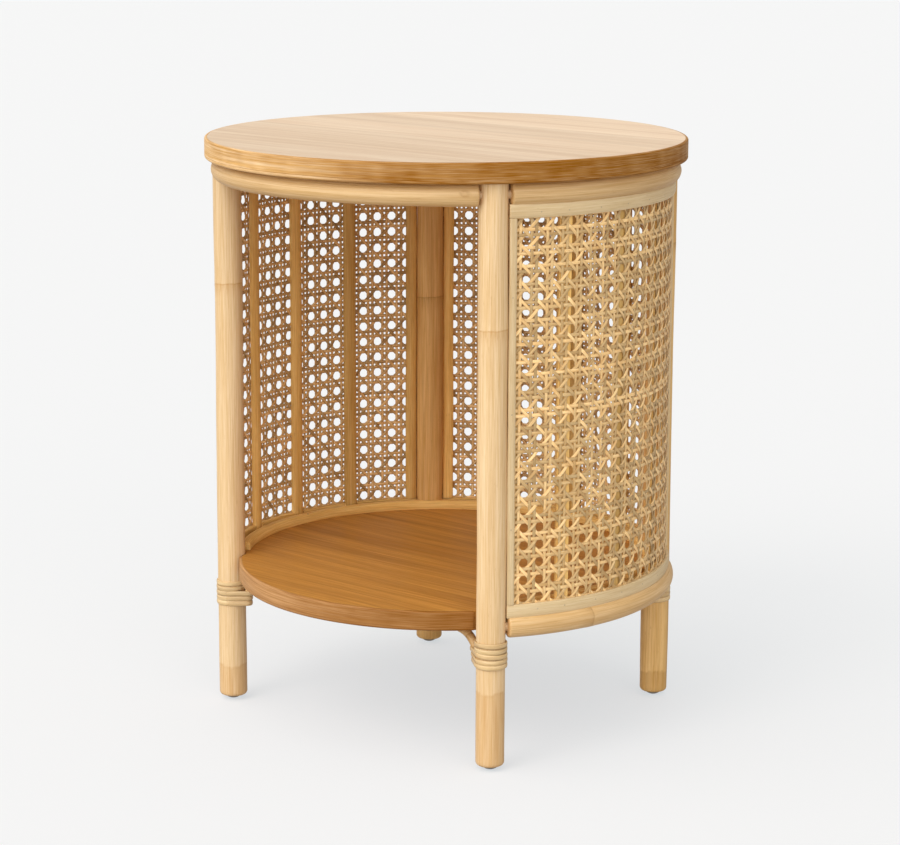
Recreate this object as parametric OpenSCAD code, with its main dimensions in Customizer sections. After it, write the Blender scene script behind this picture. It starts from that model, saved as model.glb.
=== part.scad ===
// Round rattan side table: four pole legs, pole rails, three curved cane panels,
// a veneered top and a veneered shelf. The compartment is open towards -Y.
// Origin: centre of the table on the floor, +Z up. Angles run from -Y towards +X.

/* [Overall] */
// Diameter of the table top
top_d = 450; // [400:1:540]
// Height of the upper face of the top above the floor
table_h = 550; // [450:1:660]

/* [Boards] */
// Thickness of the table top
top_t = 19; // [15:0.5:26]
// Thickness of the shelf
shelf_t = 18; // [14:0.5:22]
// Height of the shelf's upper face above the floor
shelf_z = 145; // [120:1:200]
// Thickness of the solid lipping around each board
lipping_t = 2.5; // [2.2:0.1:4]
// Radius of the rounded arrises of the boards
arris_r = 2; // [1:0.1:2.2]
// Distance from a leg's axis at which the shelf's lipping stops
lipping_stop = 26; // [20:1:40]

/* [Legs] */
// Diameter of the leg poles
leg_d = 27; // [25:0.5:34]
// Distance from the rim of the top to the outer side of the legs
leg_inset = 5.5; // [4:0.1:12]
// Bevel at the foot of each leg
leg_bevel = 3.5; // [1:0.5:5]
// Angle of each front leg from the middle of the opening
front_leg_angle = 52; // [44:0.5:60]
// Angle of the right back leg from the middle of the opening
back_right_angle = 137.5; // [125:0.5:150]
// Angle of the left back leg from the middle of the opening, round the other way
back_left_angle = 135; // [125:0.5:150]
// Height of the nail-on glides that show under the legs
glide_h = 4; // [3:0.5:8]
// Diameter of the glides
glide_d = 17; // [8:0.5:19]

/* [Rails] */
// Diameter of the rail poles
rail_d = 21; // [17:0.5:23]
// Distance from the rim of the top to the outer side of the rails
rail_inset = 6; // [5:0.1:14]
// Drop of the bottom rails' centre line below the shelf's upper face
rail_drop = 12; // [8:0.5:14]

/* [Cane panels] */
// Thickness of the woven cane
cane_t = 2; // [1:0.1:3]
// Distance of the cane outside the rails' centre line
cane_offset = 2; // [0:0.1:3]
// Height of the trims along the rails
trim_w = 10; // [6:0.5:16]
// Thickness of the outer trims
trim_t = 3; // [2:0.1:4]
// Width of the upright outer trims beside the legs
side_trim_w = 6.5; // [4:0.5:12]
// Thickness of the inner trims
inner_trim_t = 5; // [3:0.1:7]
// Number of upright slats behind each panel
slat_count = 3; // [1:1:5]
// Width of the slats
slat_w = 12.5; // [8:0.5:18]
// Thickness of the slats
slat_t = 6; // [4:0.1:8]
// Width of the upright strips inside beside the legs
strip_w = 10.5; // [8:0.5:14]
// Turn of the right panel's slats towards the front leg, in degrees
right_slat_turn = 5.5; // [0:0.5:7]

/* [Shelf bead] */
// Width of the bead that lies on the shelf along the panels
bead_w = 9; // [6:0.5:11]
// Height of the bead
bead_h = 8.5; // [5:0.5:10]
// Thickness of the bead where it passes the back legs
bead_front = 2.6; // [2:0.1:5]

/* [Braces and bindings] */
// Diameter of the bent braces under the shelf
brace_d = 8; // [6:0.5:10]
// Height of the braces, from their lower end to the shelf's underside
brace_h = 28; // [26:0.5:42]
// Turn of the two front braces towards the opening, in degrees
brace_turn = 30; // [0:1:40]
// Distance from the underside of the bottom rails to the peel binding
binding_gap = 2.5; // [0.5:0.5:18.5]
// Height of the binding
binding_h = 24; // [18:0.5:26]
// Height of the lower part of the binding that also holds the brace
binding_lap_h = 15; // [8:0.5:16]
// Thickness of the wound peel
peel_t = 1.6; // [0.8:0.1:2.4]

/* [Fixings] */
// Diameter of the wooden dowels
dowel_d = 8; // [6:0.5:8]
// Length of a dowel's hold in the leg at a rail's end
rail_dowel_in_leg = 8; // [5:0.5:8]
// Length of a dowel's hold in the rail
rail_dowel_in_rail = 16; // [10:0.5:24]
// Length of the upright dowel in the top of a leg
leg_dowel_in_leg = 25; // [15:0.5:40]
// Length of the upright dowel in the table top
leg_dowel_in_top = 11; // [6:0.5:11]
// Length of the level dowel in a leg at the shelf
shelf_dowel_in_leg = 8; // [5:0.5:8]
// Length of the level dowel in the shelf
shelf_dowel_in_shelf = 25; // [15:0.5:40]
// Diameter of the screws that hold the top to its rails
screw_d = 4; // [3:0.5:5]
// Length of those screws
screw_l = 28; // [24:0.5:28]
// Diameter of the brads and small nails
pin_d = 1.4; // [1:0.1:2]
// Length of the brads through the panel trims
pin_l = 8.5; // [7:0.5:9]
// Length of the nails that hold the bead
bead_pin_l = 14; // [12:0.5:16]
// Length of the nails that hold the braces
brace_nail_l = 18; // [16:0.5:20]

/* [Hidden] */
// clearances
glue_gap = 0.1;
fit_gap = 0.15;
rail_gap = 0.4;
board_gap = 0.5;
hole_gap = 0.2;
side_gap = 0.3;
strip_gap = 0.2;
bead_tuck = 1.5;
// how far a hole runs past the surface that it opens into
cut = 1;
$fn = 96;

// rings and heights
top_r = top_d / 2;
leg_r = leg_d / 2;
rail_r = rail_d / 2;
leg_ring_r = top_r - leg_inset - leg_r;
rail_ring_r = top_r - rail_inset - rail_r;
shelf_r = rail_ring_r - rail_r - board_gap;
under_top_z = table_h - top_t;
top_rail_z = under_top_z - rail_r - fit_gap;
bottom_rail_z = shelf_z - rail_drop;
cane_in_r = rail_ring_r + cane_offset - cane_t / 2;
cane_out_r = cane_in_r + cane_t;
trim_in_r = cane_out_r + glue_gap;
trim_out_r = trim_in_r + trim_t;
inner_out_r = cane_in_r - 2 * glue_gap;
inner_in_r = inner_out_r - inner_trim_t;
trim_foot_z = bottom_rail_z + rail_r;
trim_head_z = top_rail_z - rail_r;
low_trim_z = trim_foot_z + trim_w;
high_trim_z = trim_head_z - trim_w;
bead_in_r = leg_ring_r - leg_r - fit_gap - bead_front;
bead_out_r = bead_in_r + bead_w;
brace_r = brace_d / 2;
lobe_r = brace_r + peel_t;

// legs in order: front left, front right, back right, back left
leg_angle = [360 - front_leg_angle, front_leg_angle, back_right_angle, 360 - back_left_angle];
brace_turns = [-brace_turn, brace_turn, 0, 0];
// the level dowels lie beside the brace nails, on the side that no brace turns to
dowel_side = [1, -1, -1, 1];
dowel_shift = dowel_d / 2 + pin_d / 2 + 2 * hole_gap;
// panels in order: right, back, left, and the opening, each between two legs
bay_from = [leg_angle[1], leg_angle[2], leg_angle[3], leg_angle[0]];
bay_to = [leg_angle[2], leg_angle[3], leg_angle[0], leg_angle[1] + 360];
slat_turn = [-right_slat_turn, 0, 0];

// pieces beside a leg, as distances from the leg's axis along the ring
rail_start = leg_r + rail_gap;
cane_start = leg_r + side_gap;
side_start = sqrt(pow(leg_r, 2) - pow(trim_in_r - leg_ring_r, 2)) + side_gap;
strip_start = leg_r + strip_gap;

// the binding hangs under the bottom rails, the brace under the shelf
binding_z = bottom_rail_z - rail_r - binding_gap - binding_h;
brace_z = shelf_z - shelf_t - brace_h;

// brace bend: a quarter circle from the leg's side to the shelf's underside
brace_foot_u = leg_r + peel_t / 4 + brace_r;
brace_bend_r = shelf_z - shelf_t - fit_gap - brace_r - brace_z;
brace_nail_u = brace_foot_u + brace_bend_r - brace_r;
// how far the brace has bent away from the leg at the upper edge of its binding
brace_lean = brace_bend_r
    - sqrt(pow(brace_bend_r, 2) - pow(binding_z + binding_lap_h - brace_z, 2));

// screws, brads and the pins of the glides
screw_shares = [0.25, 0.75];
screw_head_d = 2 * screw_d;
screw_head_h = 2.4;
screw_recess = 3;
screw_head_z = trim_head_z + screw_recess;
low_brad_z = (trim_foot_z + low_trim_z) / 2;
high_brad_z = (trim_head_z + high_trim_z) / 2;
side_brad_shares = [0.2, 0.5, 0.8];
glide_pin_d = 2.4;
glide_pin_l = 12;

// radius of a crowned face, as a share of the bar's width
crown_share = 0.72;

// ---- placing -------------------------------------------------------------

// angle that a distance along the ring takes up at radius r
function turn(along, r) = asin(along / r);

// angle from a leg to a face across the ring that clears the leg's axis by a distance
function beside_leg(clear) = turn(clear, leg_ring_r);

// angle of an upright strip's middle, seen from the leg
strip_angle = beside_leg(strip_start + strip_w / 2);

// angle of slat k (0 .. slat_count - 1) of panel p, in equal bays between the strips
function slat_angle(p, k) = bay_from[p] + strip_angle + slat_turn[p]
    + (bay_to[p] - bay_from[p] - 2 * strip_angle) * (k + 1) / (slat_count + 1);

// edges of the bays of panel p: its first leg, its slats and its last leg
function bay_edges(p) = concat(
    [bay_from[p] + beside_leg(strip_start)],
    [for (k = [0 : slat_count - 1]) slat_angle(p, k)],
    [bay_to[p] - beside_leg(strip_start)]
);

// angles of the brads along a trim of panel p: at each slat and in each bay
function brad_angles(p) = let (e = bay_edges(p)) concat(
    [for (k = [0 : slat_count - 1]) slat_angle(p, k)],
    [for (k = [0 : slat_count]) (e[k] + e[k + 1]) / 2]
);

// +X along the ring, +Y towards the middle of the table
module at_ring(angle, r, z) {
    translate([r * sin(angle), -r * cos(angle), z]) rotate([0, 0, angle]) children();
}

// a flat outline (x = radius, y = height) swept from angle a to angle b
module sweep(a, b) {
    rotate([0, 0, a - 90]) rotate_extrude(angle = b - a) children();
}

// a round bar along +Y, from y0 to y1
module bar_inwards(d, y0, y1) {
    translate([0, y0, 0]) rotate([-90, 0, 0]) cylinder(d = d, h = y1 - y0);
}

// ---- fixings, each drawn bare, and larger by a clearance for its hole -------

// the dowel between leg l and the rail on one side of it (side -1 or 1)
module rail_dowel(l, side, z, gap = 0) {
    at_ring(leg_angle[l] + side * turn(leg_r, rail_ring_r), rail_ring_r, z)
        rotate([0, side * 90, 0])
            translate([0, 0, -rail_dowel_in_leg - gap])
                cylinder(d = dowel_d + gap, h = rail_dowel_in_leg + rail_dowel_in_rail + 2 * gap);
}

// the upright dowel between leg l and the table top
module leg_dowel(l, gap = 0) {
    at_ring(leg_angle[l], leg_ring_r, under_top_z - leg_dowel_in_leg - gap)
        cylinder(d = dowel_d + gap, h = leg_dowel_in_leg + leg_dowel_in_top + 2 * gap);
}

// the level dowel between leg l and the shelf
module shelf_dowel(l, gap = 0) {
    at_ring(leg_angle[l], leg_ring_r - leg_r, shelf_z - shelf_t / 2)
        translate([dowel_side[l] * dowel_shift, 0, 0])
            bar_inwards(dowel_d + gap, -shelf_dowel_in_leg - gap, shelf_dowel_in_shelf + gap);
}

// places of the screws: two in each top rail
module at_top_screws(bays) {
    for (p = bays)
        for (share = screw_shares)
            at_ring(bay_from[p] + share * (bay_to[p] - bay_from[p]), rail_ring_r, 0) children();
}

module top_screw() {
    translate([0, 0, screw_head_z]) cylinder(d = screw_head_d, h = screw_head_h);
    translate([0, 0, screw_head_z + screw_head_h / 2])
        cylinder(d = screw_d, h = screw_l - screw_head_h / 2);
}

module top_screw_hole() {
    translate([0, 0, trim_head_z - cut])
        cylinder(
            d = screw_head_d + 2 * hole_gap,
            h = cut + screw_recess + screw_head_h + hole_gap
        );
    translate([0, 0, screw_head_z])
        cylinder(d = screw_d + hole_gap, h = screw_l + hole_gap);
}

// a brad from the outer face of a trim towards the middle of the table
module brad(gap = 0) {
    bar_inwards(pin_d + gap, gap == 0 ? 0 : -cut, pin_l + gap);
}

module at_brads(p) {
    side_angle = turn(side_start + side_trim_w / 2, trim_out_r);
    side_h = high_trim_z - low_trim_z;
    for (a = brad_angles(p))
        for (z = [low_brad_z, high_brad_z]) at_ring(a, trim_out_r, z) children();
    for (a = [bay_from[p] + side_angle, bay_to[p] - side_angle])
        for (share = side_brad_shares)
            at_ring(a, trim_out_r, low_trim_z + share * side_h) children();
}

// nails of the bead: level into the two back legs, upright into the shelf at each panel
module bead_leg_pin(l, gap = 0) {
    at_ring(leg_angle[l], bead_in_r, shelf_z + bead_h / 2)
        bar_inwards(pin_d + gap, -bead_pin_l - gap, gap == 0 ? 0 : cut);
}

module bead_shelf_pin(p, gap = 0) {
    at_ring((bay_from[p] + bay_to[p]) / 2, bead_in_r + bead_front, shelf_z + bead_h)
        translate([0, 0, -bead_pin_l - gap])
            cylinder(d = pin_d + gap, h = bead_pin_l + gap + (gap == 0 ? 0 : cut));
}

// the nail through the end of the brace of leg l, up into the shelf
module brace_nail(l, gap = 0) {
    below = gap == 0 ? 0 : cut;
    at_ring(leg_angle[l], leg_ring_r, shelf_z - shelf_t - brace_d)
        rotate([0, 0, brace_turns[l]])
            translate([0, brace_nail_u, -below])
                cylinder(d = pin_d + gap, h = brace_nail_l + gap + below);
}

// ---- boards ----------------------------------------------------------------

// a band from r0 to r1 between z0 and z1, rounded at both outer arrises
module lipping_outline(r0, r1, z0, z1) {
    intersection() {
        translate([r0, z0]) square([r1 - r0, z1 - z0]);
        union() {
            translate([r0, z0]) square([r1 - r0 - arris_r, z1 - z0]);
            translate([r0, z0 + arris_r]) square([r1 - r0, z1 - z0 - 2 * arris_r]);
            for (z = [z0 + arris_r, z1 - arris_r])
                translate([r1 - arris_r, z]) circle(arris_r);
        }
    }
}

module table_top() {
    color("burlywood")
        difference() {
            translate([0, 0, under_top_z]) cylinder(r = top_r - lipping_t - glue_gap, h = top_t);
            for (l = [0 : 3]) leg_dowel(l, hole_gap);
            at_top_screws([0 : 3]) top_screw_hole();
        }
}

module top_lipping() {
    color("peru")
        rotate_extrude() lipping_outline(top_r - lipping_t, top_r, under_top_z, table_h);
}

// the hollow in the shelf's rim that leg l seats in
module shelf_seat(l) {
    at_ring(leg_angle[l], leg_ring_r, shelf_z - shelf_t - cut)
        cylinder(r = leg_r + fit_gap, h = shelf_t + 2 * cut);
}

module shelf() {
    color("peru")
        difference() {
            translate([0, 0, shelf_z - shelf_t])
                cylinder(r = shelf_r - lipping_t - glue_gap, h = shelf_t);
            for (l = [0 : 3]) shelf_seat(l);
            for (l = [0 : 3]) shelf_dowel(l, hole_gap);
            for (p = [0 : 2]) bead_shelf_pin(p, hole_gap);
            for (l = [0 : 3]) brace_nail(l, hole_gap);
        }
}

module shelf_lipping() {
    stop_angle = turn(lipping_stop, shelf_r);
    color("sienna")
        for (p = [0 : 3])
            sweep(bay_from[p] + stop_angle, bay_to[p] - stop_angle)
                lipping_outline(shelf_r - lipping_t, shelf_r, shelf_z - shelf_t, shelf_z);
}

// ---- poles -----------------------------------------------------------------

// the rail sides that meet leg l at the bottom: one at a front leg, two at a back leg
function low_sides(l) = l == 0 ? [-1] : l == 1 ? [1] : [-1, 1];

module leg(l) {
    color("navajowhite")
        difference() {
            at_ring(leg_angle[l], leg_ring_r, 0)
                rotate_extrude()
                    polygon([
                        [0, glide_h],
                        [leg_r - leg_bevel, glide_h],
                        [leg_r, glide_h + leg_bevel],
                        [leg_r, under_top_z - glue_gap],
                        [0, under_top_z - glue_gap]
                    ]);
            for (side = [-1, 1]) rail_dowel(l, side, top_rail_z, hole_gap);
            for (side = low_sides(l)) rail_dowel(l, side, bottom_rail_z, hole_gap);
            leg_dowel(l, hole_gap);
            shelf_dowel(l, hole_gap);
            if (l > 1) bead_leg_pin(l, hole_gap);
            at_ring(leg_angle[l], leg_ring_r, 0)
                cylinder(d = glide_pin_d + hole_gap, h = glide_h + glide_pin_l + hole_gap);
        }
}

// index of the legs at the two ends of bay p
function first_leg(p) = (p + 1) % 4;
function last_leg(p) = (p + 2) % 4;

// a rail pole of bay p, cut square at both ends, which butt against the legs' sides
module rail(p, z) {
    end_angle = beside_leg(rail_start);
    difference() {
        sweep(bay_from[p] + end_angle, bay_to[p] - end_angle)
            translate([rail_ring_r, z]) circle(rail_r);
        rail_dowel(first_leg(p), 1, z, hole_gap);
        rail_dowel(last_leg(p), -1, z, hole_gap);
    }
}

module top_rail(p) {
    color("wheat")
        difference() {
            rail(p, top_rail_z);
            at_top_screws([p]) top_screw_hole();
        }
}

module bottom_rail(p) {
    color("wheat") rail(p, bottom_rail_z);
}

// ---- cane panels -----------------------------------------------------------

// angles at which something that starts "along" from both legs begins and ends
function from_angle(p, along, r) = bay_from[p] + turn(along, r);
function to_angle(p, along, r) = bay_to[p] - turn(along, r);

module cane(p) {
    color("tan")
        difference() {
            sweep(from_angle(p, cane_start, cane_out_r), to_angle(p, cane_start, cane_out_r))
                translate([cane_in_r, trim_foot_z + fit_gap])
                    square([cane_t, trim_head_z - trim_foot_z - 2 * fit_gap]);
            at_brads(p) brad(hole_gap);
        }
}

// outline of a trim between r0 and r1 that stands on a bottom rail
module low_trim_outline(r0, r1) {
    difference() {
        translate([r0, bottom_rail_z]) square([r1 - r0, low_trim_z - bottom_rail_z]);
        translate([rail_ring_r, bottom_rail_z]) circle(rail_r + fit_gap);
    }
}

// outline of a trim between r0 and r1 that hangs under a top rail
module high_trim_outline(r0, r1) {
    difference() {
        translate([r0, high_trim_z]) square([r1 - r0, top_rail_z - high_trim_z]);
        translate([rail_ring_r, top_rail_z]) circle(rail_r + fit_gap);
    }
}

module outer_top_trim(p) {
    color("palegoldenrod")
        difference() {
            sweep(from_angle(p, side_start, trim_in_r), to_angle(p, side_start, trim_in_r))
                high_trim_outline(trim_in_r, trim_out_r);
            at_brads(p) brad(hole_gap);
        }
}

module outer_bottom_trim(p) {
    color("palegoldenrod")
        difference() {
            sweep(from_angle(p, side_start, trim_in_r), to_angle(p, side_start, trim_in_r))
                low_trim_outline(trim_in_r, trim_out_r);
            at_brads(p) brad(hole_gap);
        }
}

module outer_side_trims(p) {
    side_a = turn(side_start, trim_in_r);
    side_b = turn(side_start + side_trim_w, trim_in_r);
    color("palegoldenrod")
        difference() {
            for (span = [
                [bay_from[p] + side_a, bay_from[p] + side_b],
                [bay_to[p] - side_b, bay_to[p] - side_a]
            ])
                sweep(span[0], span[1])
                    translate([trim_in_r, low_trim_z + glue_gap])
                        square([trim_t, high_trim_z - low_trim_z - 2 * glue_gap]);
            at_brads(p) brad(hole_gap);
        }
}

// an upright bar with a flat back on the cane and a crowned face inside
module crowned_bar(w, t, z0, z1) {
    crown_r = crown_share * w;
    translate([0, 0, z0])
        linear_extrude(z1 - z0)
            intersection() {
                translate([0, t - crown_r]) circle(crown_r);
                translate([-w / 2, 0]) square([w, t]);
            }
}

module slats(p) {
    color("tan")
        difference() {
            for (k = [0 : slat_count - 1])
                at_ring(slat_angle(p, k), inner_out_r, 0)
                    crowned_bar(
                        slat_w, slat_t, trim_foot_z + fit_gap, trim_head_z - fit_gap
                    );
            at_brads(p) brad(hole_gap);
        }
}

module edge_strips(p) {
    color("tan")
        difference() {
            for (a = [bay_from[p] + strip_angle, bay_to[p] - strip_angle])
                at_ring(a, inner_out_r, 0)
                    crowned_bar(
                        strip_w, slat_t, low_trim_z + glue_gap, high_trim_z - glue_gap
                    );
            at_brads(p) brad(hole_gap);
        }
}

// sweeps an outline through each bay of panel p, up to the slats' sides
module between_slats(p) {
    e = bay_edges(p);
    trim_stop = turn(slat_w / 2 + fit_gap, inner_in_r);
    for (k = [0 : slat_count])
        sweep(
            e[k] + (k == 0 ? 0 : trim_stop),
            e[k + 1] - (k == slat_count ? 0 : trim_stop)
        )
            children();
}

module inner_bottom_trims(p) {
    color("burlywood")
        difference() {
            between_slats(p) low_trim_outline(inner_in_r, inner_out_r);
            at_brads(p) brad(hole_gap);
        }
}

module inner_top_trims(p) {
    color("burlywood")
        difference() {
            between_slats(p) high_trim_outline(inner_in_r, inner_out_r);
            at_brads(p) brad(hole_gap);
        }
}

// ---- bead on the shelf ------------------------------------------------------

module shelf_bead() {
    end_angle = turn(leg_r - bead_tuck, bead_out_r);
    round_r = min(bead_w, bead_h) / 2;
    color("burlywood")
        difference() {
            sweep(bay_from[0] + end_angle, bay_to[2] - end_angle) {
                translate([bead_in_r, shelf_z]) square([bead_w, bead_h - round_r]);
                translate([bead_in_r + round_r, shelf_z]) square([bead_w - 2 * round_r, bead_h]);
                for (r = [bead_in_r + round_r, bead_out_r - round_r])
                    translate([r, shelf_z + bead_h - round_r]) circle(round_r);
            }
            for (l = [2, 3])
                at_ring(leg_angle[l], leg_ring_r, shelf_z - cut)
                    cylinder(r = leg_r + fit_gap, h = bead_h + 2 * cut);
            for (l = [2, 3]) bead_leg_pin(l, hole_gap);
            for (p = [0 : 2]) bead_shelf_pin(p, hole_gap);
        }
}

// ---- braces, bindings, glides ------------------------------------------------

// a quarter circle of rod, up along the leg and over to the shelf; +Y is inwards
module bent_rod(r) {
    translate([0, brace_foot_u + brace_bend_r, brace_z])
        rotate([90, 0, -90])
            rotate_extrude(angle = 90)
                translate([brace_bend_r, 0]) circle(r);
}

module brace(l) {
    color("wheat")
        difference() {
            at_ring(leg_angle[l], leg_ring_r, 0)
                rotate([0, 0, brace_turns[l]]) bent_rod(brace_r);
            brace_nail(l, hole_gap);
        }
}

// outer outline of the peel round leg and brace, with straight sides from leg to brace
module lap_outline() {
    side_x = 0.72 * leg_r;
    side_y = 0.75 * leg_r;
    circle(leg_r + peel_t);
    for (y = [brace_foot_u, brace_foot_u + brace_lean])
        translate([0, y]) circle(lobe_r);
    translate([-lobe_r, brace_foot_u]) square([2 * lobe_r, brace_lean]);
    polygon([
        [-side_x, side_y], [-lobe_r, brace_foot_u],
        [lobe_r, brace_foot_u], [side_x, side_y]
    ]);
}

module binding(l) {
    // how far the binding reaches below the brace's foot
    below_foot = max(brace_z - binding_z, 0);
    color("moccasin")
        at_ring(leg_angle[l], leg_ring_r, 0)
            rotate([0, 0, brace_turns[l]])
                difference() {
                    union() {
                        translate([0, 0, binding_z]) cylinder(r = leg_r + peel_t, h = binding_h);
                        translate([0, 0, binding_z]) linear_extrude(binding_lap_h) lap_outline();
                    }
                    translate([0, 0, binding_z - cut])
                        cylinder(r = leg_r + fit_gap, h = binding_h + 2 * cut);
                    bent_rod(brace_r + fit_gap);
                    translate([0, brace_foot_u, brace_z - below_foot - cut])
                        cylinder(r = brace_r + fit_gap, h = below_foot + cut);
                }
}

module glide(l) {
    pin_from = glide_h / 2;
    dome_r = (pow(glide_d / 2, 2) + pow(glide_h, 2)) / (2 * glide_h);
    color("gray")
        at_ring(leg_angle[l], leg_ring_r, 0) {
            intersection() {
                translate([0, 0, dome_r]) sphere(dome_r);
                cylinder(d = glide_d, h = glide_h - glue_gap);
            }
            translate([0, 0, pin_from])
                cylinder(d = glide_pin_d, h = glide_h + glide_pin_l - pin_from);
        }
}

// ---- hidden fixings ----------------------------------------------------------

module rail_dowels() {
    color("tan") {
        for (l = [0 : 3])
            for (side = [-1, 1]) rail_dowel(l, side, top_rail_z);
        for (l = [0 : 3])
            for (side = low_sides(l)) rail_dowel(l, side, bottom_rail_z);
    }
}

module leg_dowels() {
    color("tan") for (l = [0 : 3]) leg_dowel(l);
}

module shelf_dowels() {
    color("tan") for (l = [0 : 3]) shelf_dowel(l);
}

module top_screws() {
    color("silver") at_top_screws([0 : 3]) top_screw();
}

module trim_pins() {
    color("silver") for (p = [0 : 2]) at_brads(p) brad();
}

module bead_pins() {
    color("silver") {
        for (l = [2, 3]) bead_leg_pin(l);
        for (p = [0 : 2]) bead_shelf_pin(p);
    }
}

module brace_nails() {
    color("silver") for (l = [0 : 3]) brace_nail(l);
}

table_top();
top_lipping();
shelf();
shelf_lipping();
leg(0);  // leg_front_left
leg(1);  // leg_front_right
leg(2);  // leg_back_right
leg(3);  // leg_back_left
top_rail(0);  // top_rail_right
top_rail(1);  // top_rail_back
top_rail(2);  // top_rail_left
top_rail(3);  // top_rail_front
bottom_rail(0);  // bottom_rail_right
bottom_rail(1);  // bottom_rail_back
bottom_rail(2);  // bottom_rail_left
cane(0);  // cane_right
cane(1);  // cane_back
cane(2);  // cane_left
outer_top_trim(0);  // outer_top_trim_right
outer_top_trim(1);  // outer_top_trim_back
outer_top_trim(2);  // outer_top_trim_left
outer_bottom_trim(0);  // outer_bottom_trim_right
outer_bottom_trim(1);  // outer_bottom_trim_back
outer_bottom_trim(2);  // outer_bottom_trim_left
outer_side_trims(0);  // outer_side_trims_right
outer_side_trims(1);  // outer_side_trims_back
outer_side_trims(2);  // outer_side_trims_left
slats(0);  // slats_right
slats(1);  // slats_back
slats(2);  // slats_left
edge_strips(0);  // edge_strips_right
edge_strips(1);  // edge_strips_back
edge_strips(2);  // edge_strips_left
inner_bottom_trims(0);  // inner_bottom_trims_right
inner_bottom_trims(1);  // inner_bottom_trims_back
inner_bottom_trims(2);  // inner_bottom_trims_left
inner_top_trims(0);  // inner_top_trims_right
inner_top_trims(1);  // inner_top_trims_back
inner_top_trims(2);  // inner_top_trims_left
shelf_bead();
brace(0);  // brace_front_left
brace(1);  // brace_front_right
brace(2);  // brace_back_right
brace(3);  // brace_back_left
binding(0);  // binding_front_left
binding(1);  // binding_front_right
binding(2);  // binding_back_right
binding(3);  // binding_back_left
glide(0);  // glide_front_left
glide(1);  // glide_front_right
glide(2);  // glide_back_right
glide(3);  // glide_back_left
rail_dowels();
leg_dowels();
shelf_dowels();
top_screws();
trim_pins();
bead_pins();
brace_nails();
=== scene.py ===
import math
import random

import bpy
import numpy as np
from mathutils import Matrix, Vector


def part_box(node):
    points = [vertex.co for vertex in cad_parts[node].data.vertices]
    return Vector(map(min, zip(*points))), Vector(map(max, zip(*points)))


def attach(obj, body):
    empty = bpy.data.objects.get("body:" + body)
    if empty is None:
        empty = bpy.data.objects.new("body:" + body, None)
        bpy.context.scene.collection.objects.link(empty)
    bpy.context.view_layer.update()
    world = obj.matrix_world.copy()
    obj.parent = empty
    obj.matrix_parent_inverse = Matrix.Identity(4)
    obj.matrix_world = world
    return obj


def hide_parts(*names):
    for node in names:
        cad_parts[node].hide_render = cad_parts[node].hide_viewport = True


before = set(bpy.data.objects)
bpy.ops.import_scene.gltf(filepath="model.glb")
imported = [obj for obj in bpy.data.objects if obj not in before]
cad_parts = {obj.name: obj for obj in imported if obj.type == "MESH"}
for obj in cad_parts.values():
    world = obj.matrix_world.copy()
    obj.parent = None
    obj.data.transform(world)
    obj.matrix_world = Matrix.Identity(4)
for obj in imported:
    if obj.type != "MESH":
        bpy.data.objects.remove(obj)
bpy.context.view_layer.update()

# A round rattan side table: pole legs and rails, three woven cane panels, veneered boards.
# Angles run from -Y (the opening) towards +X, in degrees. Places and overall sizes come from
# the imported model; the small sizes written as numbers repeat those of its source.

MM = 0.001
TAU = 2 * math.pi

# clearances between pieces
GLUE_GAP = 0.1 * MM
FIT_GAP = 0.15 * MM
STRIP_GAP = 0.2 * MM
SIDE_GAP = 0.3 * MM
RAIL_GAP = 0.4 * MM

# ---- sizes ---------------------------------------------------------------------

CORNERS = ("front_left", "front_right", "back_right", "back_left")
BAYS = {
    "right": ("front_right", "back_right"),
    "back": ("back_right", "back_left"),
    "left": ("back_left", "front_left"),
    "front": ("front_left", "front_right"),
}
PANELS = ("right", "back", "left")


def low(node):
    return Vector(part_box(node)[0])


def high(node):
    return Vector(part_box(node)[1])


def leg_centre(corner):
    return (low("leg_" + corner) + high("leg_" + corner)) / 2


LEG_ANGLE = {
    c: math.degrees(math.atan2(leg_centre(c).x, -leg_centre(c).y)) % 360 for c in CORNERS
}
LEG_RING = leg_centre("front_right").xy.length
LEG_R = (high("leg_front_right").x - low("leg_front_right").x) / 2
LEG_FOOT = low("leg_front_right").z
LEG_HEAD = high("leg_front_right").z

TOP_R = high("top_lipping").x
TOP_Z = high("top_lipping").z
UNDER_TOP = low("top_lipping").z
SHELF_R = high("shelf_lipping").y
SHELF_Z = high("shelf_lipping").z
UNDER_SHELF = low("shelf_lipping").z
LIPPING_T = 2.5 * MM
ARRIS_R = 2.0 * MM

RAIL_R = (high("top_rail_back").z - low("top_rail_back").z) / 2
RAIL_RING = high("top_rail_back").y - RAIL_R
TOP_RAIL_Z = high("top_rail_back").z - RAIL_R
LOW_RAIL_Z = high("bottom_rail_back").z - RAIL_R

CANE_T = 2.0 * MM
CANE_OUT = high("cane_back").y
CANE_MID = CANE_OUT - CANE_T / 2
CANE_FOOT = low("cane_back").z
CANE_HEAD = high("cane_back").z
TRIM_OUT = high("outer_top_trim_back").y
TRIM_IN = CANE_OUT + GLUE_GAP
LOW_TRIM_TOP = high("outer_bottom_trim_back").z
HIGH_TRIM_FOOT = low("outer_top_trim_back").z
CANE_START = LEG_R + SIDE_GAP
SIDE_START = math.sqrt(LEG_R**2 - (TRIM_IN - LEG_RING) ** 2) + SIDE_GAP
SIDE_TRIM_W = 6.5 * MM

INNER_OUT = CANE_OUT - CANE_T - 2 * GLUE_GAP
INNER_TRIM_T = 5.0 * MM
SLAT_COUNT = 3
SLAT_W = 12.5 * MM
SLAT_T = 6.0 * MM
STRIP_W = 10.5 * MM
STRIP_START = LEG_R + STRIP_GAP
RIGHT_SLAT_TURN = 5.5

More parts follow.
